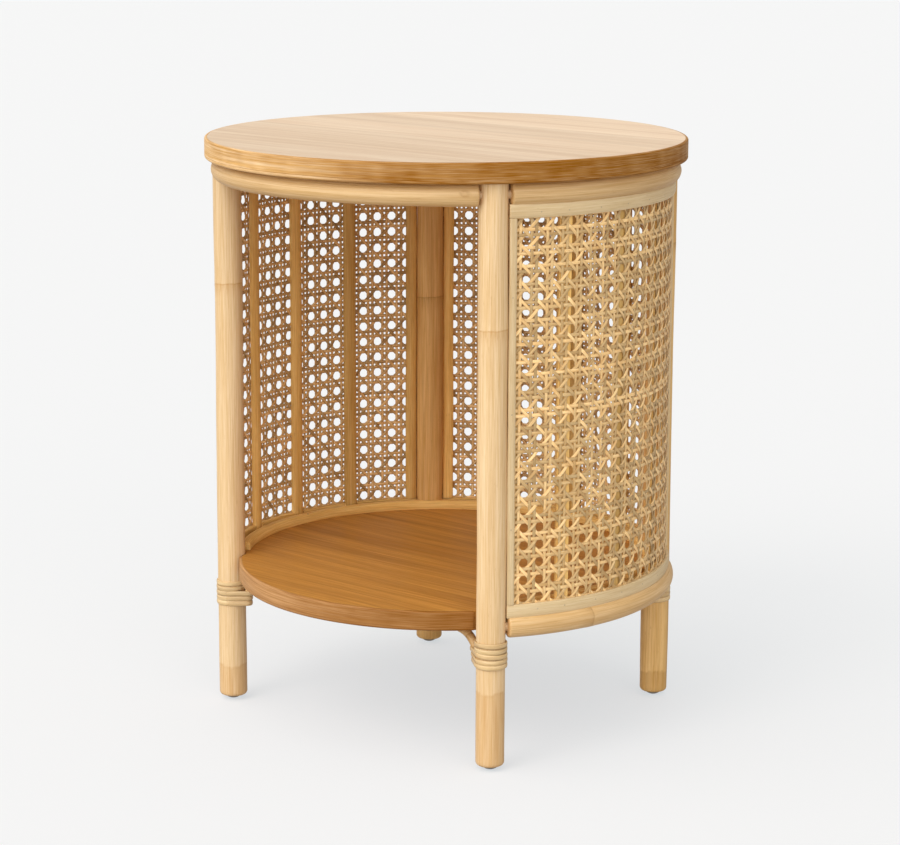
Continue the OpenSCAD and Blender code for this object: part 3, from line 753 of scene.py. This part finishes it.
def strand(centre, direction, height, start_angle, seed):
    """A ribbon along points (x, z) of a panel laid flat, lifted by height, bent round the ring."""
    rng = random.Random(seed)
    outline = strand_outline() * np.array([1.0, rng.uniform(0.88, 1.06)])
    run = np.linspace(0, 1, len(centre)) * np.linalg.norm(centre[-1] - centre[0])
    across = np.array([-direction[1], direction[0]])
    sway = waves(seed, 0.10 * MM, 0.12, 3)(run)
    n, m = len(centre), len(outline)
    rows = np.zeros((n, m, 4))
    rows[..., 0] = run[:, None]
    rows[..., 1] = height[:, None] + outline[:, 0]
    rows[..., 2] = sway[:, None] + outline[:, 1]

    def place(s, a, b):
        flat = centre[:, None, :] + b[..., None] * across
        t = math.radians(start_angle) + flat[..., 0] / CANE_MID
        r = CANE_MID + a
        z = CANE_FOOT + flat[..., 1] * CANE_STRETCH
        return np.stack([r * np.sin(t), -r * np.cos(t), z], -1)

    # the edges of a strand are darker than its crown: painted shade where the strands dip under each
    # other
    side_share = np.abs(outline[:, 1]) / np.abs(outline[:, 1]).max()
    rows[..., 3] = 0.34 * np.clip(side_share - 0.62, 0, 1) / 0.38
    return skin(rows, place, rng.random())


def cane_panel(side, seed):
    first, last = bay(side)
    inset = turn(CANE_START + SIDE_GAP, CANE_MID)
    start_angle = first + inset
    width = math.radians(last - first - 2 * inset) * CANE_MID
    height = (CANE_HEAD - CANE_FOOT) / CANE_STRETCH
    families = {"upright": [], "level": [], "rising": [], "falling": []}
    columns = np.arange(-1, int(width / PITCH) + 2)
    rows = np.arange(-1, int(height / PITCH) + 2)
    shift_x = 0.5 * (width / PITCH % 1.0)
    shift_z = 0.5 * (height / PITCH % 1.0)

    def run(p, q):
        count = max(3, int(np.linalg.norm(q - p) / PITCH * POINTS_PER_PITCH))
        return p + (q - p) * np.linspace(0, 1, count)[:, None]

    for i in columns:
        for sign in (-1, 1):
            x = (i + shift_x) * PITCH + sign * PAIR_GAP / 2
            if EDGE_MARGIN < x < width - EDGE_MARGIN:
                line = run(np.array([x, 0.0]), np.array([x, height]))
                v = line[:, 1] / PITCH - shift_z
                families["upright"].append((line, (0, 1), plain_height(v, sign)))
    for j in rows:
        for sign in (-1, 1):
            z = (j + shift_z) * PITCH + sign * PAIR_GAP / 2
            if EDGE_MARGIN < z < height - EDGE_MARGIN:
                line = run(np.array([0.0, z]), np.array([width, z]))
                v = line[:, 0] / PITCH - shift_x
                families["level"].append((line, (1, 0), -plain_height(v, sign)))
    slope = math.sqrt(0.5)
    for slant, family in ((1, "rising"), (-1, "falling")):
        spread = len(columns) + len(rows)
        for k in range(-spread, spread):
            # x - slant * z = offset, half a pitch away from the crossings of the pairs
            offset = (k + 0.5 + shift_x - slant * shift_z) * PITCH
            z0 = max(0.0, -offset) if slant > 0 else max(0.0, offset - width)
            z1 = min(height, width - offset) if slant > 0 else min(height, offset)
            if z1 - z0 < SHORTEST:
                continue
            p = np.array([offset + slant * z0, z0])
            q = np.array([offset + slant * z1, z1])
            line = run(p, q)
            v = line[:, 1] / PITCH - shift_z
            lift = slant * DIAGONAL_LIFT * np.tanh(1.8 * np.cos(TAU * (v + 0.5)))
            families[family].append((line, (slant * slope, slope), lift))
    for number, (family, strands) in enumerate(families.items()):
        skins = [
            strand(line, way, lift, start_angle, seed + 500 * number + k)
            for k, (line, way, lift) in enumerate(strands)
        ]
        nodes = ("cane_" + side,) if number == 0 else ()
        piece("cane_" + side + "_" + family, skins, CANE, "cane_weave", *nodes, sharp=80)


for number, side in enumerate(PANELS):
    cane_panel(side, 10000 * (number + 1))

# ---- trims, slats, strips and bead -----------------------------------------------------------


def reed_profile(a0, b0, b1, edge):
    """Section of split reed: a flat back at a0 and a crowned face that reaches a = 0."""
    middle, half = (b0 + b1) / 2, (b1 - b0) / 2
    points = [(a0, b1), (a0, b0)]
    for k in range(13):
        share = -math.cos(math.pi * k / 12)
        points.append((-edge * abs(share) ** 3, middle + half * share))
    return np.array(points)


def outer_trims(side, seed):
    a, b = bay(side)
    clear = turn(SIDE_START, TRIM_IN)
    length = math.radians(b - a - 2 * clear) * TRIM_OUT
    thick = TRIM_OUT - TRIM_IN
    place = on_ring(a + clear, TRIM_OUT, 0)
    foot = LOW_RAIL_Z + rail_rise(TRIM_OUT)
    head = TOP_RAIL_Z - rail_rise(TRIM_OUT)
    edge = 0.9 * MM
    low_shape = reed_profile(-thick, foot, LOW_TRIM_TOP, edge)
    high_shape = reed_profile(-thick, HIGH_TRIM_FOOT, head, edge)
    for name, shape, number in (("bottom", low_shape, 1), ("top", high_shape, 2)):
        rows = strip_rows(shape, 0, length, seed=seed + number, wander=0.12 * MM)
        node = "outer_" + name + "_trim_" + side
        shell = skin(rows, place, 0.45 + 0.05 * number)
        piece(node + "_reed", [shell], TRIM, "outer_trim", node, sharp=60)
    uprights = []
    half = turn(SIDE_START + SIDE_TRIM_W / 2, TRIM_IN)
    shape = reed_profile(-thick, -SIDE_TRIM_W / 2, SIDE_TRIM_W / 2, edge)
    for number, at in enumerate((a + half, b - half)):
        rows = strip_rows(shape, LOW_TRIM_TOP + GLUE_GAP, HIGH_TRIM_FOOT - GLUE_GAP,
                          seed=seed + 5 + number, wander=0.15 * MM)
        uprights.append(skin(rows, on_post(at, TRIM_OUT), 0.4 + 0.2 * number))
    node = "outer_side_trims_" + side
    piece(node + "_reed", uprights, TRIM, "outer_trim", node, sharp=60)


def inner_bars(node, width, angles, foot, head, seed, wander):
    """Upright strips on the inside of a panel, each with a tone of its own."""
    shape = crowned_profile(width, SLAT_T)
    skins = []
    for k, at in enumerate(angles):
        rows = strip_rows(shape, foot, head, seed=seed + k, wander=wander)
        skins.append(skin(rows, on_post(at, INNER_OUT), random.Random(seed + k).random()))
    piece(node + "_bars", skins, INNER, "inner_strip", node, sharp=60)


def inner_strips(side, seed):
    a, b = bay(side)
    slats = slat_angles(side)
    foot, head = low("slats_" + side).z, high("slats_" + side).z
    inner_bars("slats_" + side, SLAT_W, slats, foot, head, seed, 0.2 * MM)
    inner_bars("edge_strips_" + side, STRIP_W, (a + STRIP_ANGLE, b - STRIP_ANGLE),
               LOW_TRIM_TOP + GLUE_GAP, HIGH_TRIM_FOOT - GLUE_GAP, seed + 10, 0.15 * MM)

    end = turn(STRIP_START, LEG_RING)
    stop = turn(SLAT_W / 2 + FIT_GAP, INNER_OUT - INNER_TRIM_T)
    edges = [a + end, *slats, b - end]
    # the trims reach this far over the rail's highest or lowest line
    lap = 0.4 * MM
    low_foot = LOW_RAIL_Z + rail_rise(RAIL_RING) - lap
    high_head = TOP_RAIL_Z - rail_rise(RAIL_RING) + lap
    low_radii = (0.2 * MM, 0.2 * MM, 0.3 * MM, 1.2 * MM)
    high_radii = (1.2 * MM, 0.3 * MM, 0.2 * MM, 0.2 * MM)
    shapes = {
        "bottom": rounded_profile(-INNER_TRIM_T, 0, low_foot, LOW_TRIM_TOP, low_radii),
        "top": rounded_profile(-INNER_TRIM_T, 0, HIGH_TRIM_FOOT, high_head, high_radii),
    }
    for name, shape in shapes.items():
        skins = []
        for k in range(SLAT_COUNT + 1):
            from_angle = edges[k] + (stop if k else 0)
            to_angle = edges[k + 1] - (stop if k < SLAT_COUNT else 0)
            length = math.radians(to_angle - from_angle) * INNER_OUT
            rows = strip_rows(shape, 0, length, seed=seed + 20 + k, wander=0.1 * MM)
            tone = random.Random(seed + 30 + k).random()
            skins.append(skin(rows, on_ring(from_angle, INNER_OUT, 0), tone))
        node = "inner_" + name + "_trims_" + side
        piece(node + "_bars", skins, INNER, "inner_strip", node, sharp=60)


for number, side in enumerate(PANELS):
    outer_trims(side, 400 + 50 * number)
    inner_strips(side, 600 + 50 * number)

bead_end = turn(LEG_R - BEAD_TUCK, BEAD_OUT)
bead_from = LEG_ANGLE["front_right"] + bead_end
bead_to = LEG_ANGLE["front_left"] - bead_end
bead_radii = (0.3 * MM, 0.2 * MM, 1.5 * MM, 3.6 * MM)
bead_shape = rounded_profile(-BEAD_W, 0, SHELF_Z, BEAD_TOP, bead_radii)
bead_rows = strip_rows(bead_shape, 0, math.radians(bead_to - bead_from) * BEAD_OUT, wander=0)
# the bead is notched round the back legs; a little of what is cut away stays, so that no two
# points meet
NOTCH_CUT = 0.98
for corner in ("back_right", "back_left"):
    along = math.radians(LEG_ANGLE[corner] - bead_from) * BEAD_OUT - bead_rows[..., 0]
    reach = np.sqrt(np.maximum((LEG_R + FIT_GAP) ** 2 - along**2, 0))
    face = np.where(reach > 0, LEG_RING - reach - BEAD_OUT, 0)
    bead_rows[..., 1] -= NOTCH_CUT * np.maximum(bead_rows[..., 1] - face, 0)
bead_skin = skin(bead_rows, on_ring(bead_from, BEAD_OUT, 0), 0.7)
piece("shelf_bead_rod", [bead_skin], INNER, "inner_strip", "shelf_bead", sharp=60)

# ---- braces and bindings ---------------------------------------------------------------------

BINDING_TURNS = 5
# points by which the end of a turn of peel lies over its start
LAP_POINTS = 3
# radius of the line on which a brace bends in, from the leg to the shelf
BRACE_BEND = BRACE_HIGH - BRACE_LOW - BRACE_R


def leg_frame(corner):
    """Middle of a leg, the brace's direction and the level direction square to it."""
    t = math.radians(LEG_ANGLE[corner])
    turned = t + math.radians(BRACE_TURN[corner])
    middle = np.array([LEG_RING * math.sin(t), -LEG_RING * math.cos(t)])
    inwards = np.array([-math.sin(turned), math.cos(turned)])
    sideways = np.array([math.cos(turned), math.sin(turned)])
    return middle, inwards, sideways


def brace(corner, seed):
    middle, inwards, sideways = leg_frame(corner)
    length = math.pi / 2 * BRACE_BEND

    def place(s, a, b):
        t = s / BRACE_BEND
        u = BRACE_FOOT + BRACE_BEND - (BRACE_BEND + a) * np.cos(t)
        z = BRACE_LOW + (BRACE_BEND + a) * np.sin(t)
        flat = middle + u[..., None] * inwards + b[..., None] * sideways
        return np.concatenate([flat, z[..., None]], -1)

    rows = pole_rows(0, length, BRACE_R, seed, (0.62 * length,), ends=(0.8 * MM, 0.8 * MM),
                     around=28, step=1 * MM, bend=0.05 * MM)
    piece("brace_rod_" + corner, [skin(rows, place)], RAIL_RATTAN, "rail_pole", "brace_" + corner)


def loop_path(brace_at, count=96):
    """Points and outward normals of a taut loop round the leg, or round leg and brace."""
    big, small = LEG_R + FIT_GAP, BRACE_R + FIT_GAP
    with_brace = brace_at > 0
    lean = math.acos((big - small) / brace_at) if with_brace else 0.0
    fine = 4000
    if with_brace:
        # angle 0 points along the brace's direction
        arc_one = np.linspace(lean, TAU - lean, fine)
        arc_two = np.linspace(-lean, lean, fine // 2)
        one = np.stack([big * np.cos(arc_one), big * np.sin(arc_one)], -1)
        two = np.stack([brace_at + small * np.cos(arc_two), small * np.sin(arc_two)], -1)
        line_in = one[-1] + (two[0] - one[-1]) * np.linspace(0, 1, 400)[1:-1, None]
        line_out = two[-1] + (one[0] - two[-1]) * np.linspace(0, 1, 400)[1:-1, None]
        points = np.concatenate([one, line_in, two, line_out])
    else:
        arc = np.linspace(0, TAU, fine, endpoint=False)
        points = np.stack([big * np.cos(arc), big * np.sin(arc)], -1)
    steps = np.linalg.norm(np.roll(points, -1, 0) - points, axis=1)
    run = np.concatenate([[0], np.cumsum(steps)[:-1]])
    total = steps.sum()
    want = np.linspace(0, total, count, endpoint=False)
    even = np.stack([np.interp(want, run, points[:, c], period=total) for c in (0, 1)], -1)
    ahead = np.roll(even, -1, 0) - np.roll(even, 1, 0)
    normals = np.stack([ahead[:, 1], -ahead[:, 0]], -1)
    normals /= np.linalg.norm(normals, axis=1)[:, None]
    return even, normals, want


def binding(corner, seed):
    middle, inwards, sideways = leg_frame(corner)
    rng = random.Random(seed)
    pitch = (BINDING_HIGH - BINDING_LOW) / BINDING_TURNS
    skins = []
    for k in range(BINDING_TURNS):
        z = BINDING_LOW + (k + 0.5) * pitch
        climbed = max(z - BRACE_LOW, 0)
        leaning = BRACE_FOOT + BRACE_BEND - math.sqrt(BRACE_BEND**2 - climbed**2)
        even, normals, run = loop_path(leaning if z < BINDING_LOW + BINDING_LAP else 0)
        width = pitch * rng.uniform(0.93, 1.0) / 2
        thick = PEEL_T * rng.uniform(0.78, 0.94)
        tilt, phase = rng.uniform(0.3, 0.8) * MM, rng.uniform(0, TAU)
        limit = 0.5 * pitch + 0.2 * MM - width
        lean = np.minimum(tilt, limit) if k in (0, BINDING_TURNS - 1) else tilt
        around = run / run[-1] * TAU
        rise = z + lean * np.sin(around + phase)
        section = np.array([
            (0.0, -0.92 * width), (0.45 * thick, -width), (0.85 * thick, -0.72 * width),
            (thick, -0.25 * width), (thick, 0.25 * width), (0.85 * thick, 0.72 * width),
            (0.45 * thick, width), (0.0, 0.92 * width),
        ])
        # each turn is drawn as a ring closed by an overlap: its start is thinner, under its end
        index = np.arange(len(even) + LAP_POINTS)
        lap = np.zeros(len(index))
        lap[:LAP_POINTS] = -0.5 * thick
        lap[LAP_POINTS] = -0.25 * thick
        index = index % len(even)
        n, m = len(index), len(section)
        rows = np.zeros((n, m, 4))
        rows[..., 0] = (np.arange(n) * run[1])[:, None]
        rows[..., 1] = section[:, 0] + lap[:, None] * (section[:, 0] > 0)
        rows[..., 2] = section[:, 1]

        def place(s, a, b, even=even, normals=normals, index=index, rise=rise):
            flat = even[index][:, None, :] + a[..., None] * normals[index][:, None, :]
            level = middle + flat[..., :1] * inwards + flat[..., 1:] * sideways
            return np.concatenate([level, (rise[index][:, None] + b)[..., None]], -1)

        skins.append(skin(rows, place, rng.random()))
    piece("binding_peel_" + corner, skins, PEEL, "rattan_peel", "binding_" + corner, sharp=70)


for number, corner in enumerate(CORNERS):
    brace(corner, 800 + number)
    binding(corner, 900 + number)

# ---- CAD nodes that keep their shape -----------------------------------------------------------

KEPT = {
    "table_top": TOP_VENEER,
    "shelf": SHELF_VENEER,
    "rail_dowels": DOWEL_WOOD,
    "leg_dowels": DOWEL_WOOD,
    "shelf_dowels": DOWEL_WOOD,
    "top_screws": STEEL,
    "trim_pins": BRAD,
    "bead_pins": STEEL,
    "brace_nails": STEEL,
}
KEPT.update({"glide_" + corner: GLIDE for corner in CORNERS})
for node, material in KEPT.items():
    for slot in bpy.data.objects[node].material_slots:
        slot.material = material

# ---- floor, light, camera ---------------------------------------------------------------------

FLOOR_HALF = 40.0
floor_mesh = bpy.data.meshes.new("floor")
floor_mesh.from_pydata(
    [(-FLOOR_HALF, -FLOOR_HALF, 0), (FLOOR_HALF, -FLOOR_HALF, 0),
     (FLOOR_HALF, FLOOR_HALF, 0), (-FLOOR_HALF, FLOOR_HALF, 0)],
    [], [(0, 1, 2, 3)],
)
floor = add("floor", floor_mesh)
floor_paint, floor_nodes, floor_link, floor_shader = new_material("floor paint")
floor_shader.inputs["Base Color"].default_value = (0.30, 0.27, 0.25, 1.0)
floor_shader.inputs["Emission Color"].default_value = (0.565, 0.602, 0.626, 1.0)
# the camera sees the floor at full glow, but only this share of it lights the table
FLOOR_GLOW = 0.35
floor_seen = floor_nodes.new("ShaderNodeLightPath").outputs["Is Camera Ray"]
floor_link(ramp(floor_nodes, floor_link, floor_seen, 0.0, 1.0, FLOOR_GLOW, 1.0),
           floor_shader.inputs["Emission Strength"])
floor_shader.inputs["Roughness"].default_value = 0.9
floor_shader.inputs["Specular IOR Level"].default_value = 0.1
floor_mesh.materials.append(floor_paint)

CAMERA_AZIMUTH = 40.47
CAMERA_DISTANCE = 2.595
CAMERA_HEIGHT = 0.824
CAMERA_PITCH = 11.92
CAMERA_YAW = 0.096
CAMERA_ROLL = 0.205
CAMERA_LENS = 111.4

camera_data = bpy.data.cameras.new("camera")
camera_data.lens = CAMERA_LENS
camera_data.sensor_width = 36.0
camera_data.sensor_fit = "HORIZONTAL"
camera_data.clip_end = 200.0
camera = add("camera", camera_data)
heading = math.radians(CAMERA_AZIMUTH - CAMERA_YAW)
azimuth = math.radians(CAMERA_AZIMUTH)
camera.matrix_world = (
    Matrix.Translation((CAMERA_DISTANCE * math.sin(azimuth), -CAMERA_DISTANCE * math.cos(azimuth),
                        CAMERA_HEIGHT))
    @ Matrix.Rotation(heading, 4, "Z")
    @ Matrix.Rotation(math.radians(90 - CAMERA_PITCH), 4, "X")
    @ Matrix.Rotation(math.radians(CAMERA_ROLL), 4, "Z")
)
bpy.context.scene.camera = camera


def compass(azimuth_deg, elevation_deg):
    """Unit vector towards a place in the sky; azimuth as for the camera."""
    a, e = math.radians(azimuth_deg), math.radians(elevation_deg)
    return Vector((math.sin(a) * math.cos(e), -math.cos(a) * math.cos(e), math.sin(e)))


def sky(bright_side, dimmest, brightest, sharpness, seen):
    """Soft light: a smooth glow round one side over an even fill; the camera sees it even."""
    world = bpy.data.worlds.new("studio")
    bpy.context.scene.world = world
    world.use_nodes = True
    nodes, link = world.node_tree.nodes, world.node_tree.links.new
    background = nodes["Background"]
    direction = nodes.new("ShaderNodeTexCoord").outputs["Generated"]
    dot = nodes.new("ShaderNodeVectorMath")
    dot.operation = "DOT_PRODUCT"
    link(direction, dot.inputs[0])
    dot.inputs[1].default_value = bright_side
    share = ramp(nodes, link, dot.outputs["Value"], -1.0, 1.0)
    glow = math_node(nodes, link, "POWER", share, sharpness)
    strength = ramp(nodes, link, glow, 0.0, 1.0, dimmest, brightest)
    path = nodes.new("ShaderNodeLightPath").outputs["Is Camera Ray"]
    mixed = nodes.new("ShaderNodeMix")
    link(path, mixed.inputs[0])
    link(strength, mixed.inputs[2])
    mixed.inputs[3].default_value = seen
    background.inputs["Color"].default_value = (1.0, 0.995, 0.98, 1.0)
    link(mixed.outputs[0], background.inputs["Strength"])


def sun(name, towards, strength, softness):
    data = bpy.data.lights.new(name, "SUN")
    data.energy = strength
    data.angle = math.radians(softness)
    lamp = add(name, data)
    lamp.rotation_euler = towards.to_track_quat("Z", "Y").to_euler()


sky(compass(CAMERA_AZIMUTH - 45, 30), dimmest=0.32, brightest=1.84, sharpness=2.6, seen=0.92)
sun("key", compass(CAMERA_AZIMUTH - 42, 42), strength=0.76, softness=30)
sun("fill", compass(CAMERA_AZIMUTH + 24, 20), strength=0.36, softness=40)
bpy.context.scene.view_settings.view_transform = "Standard"
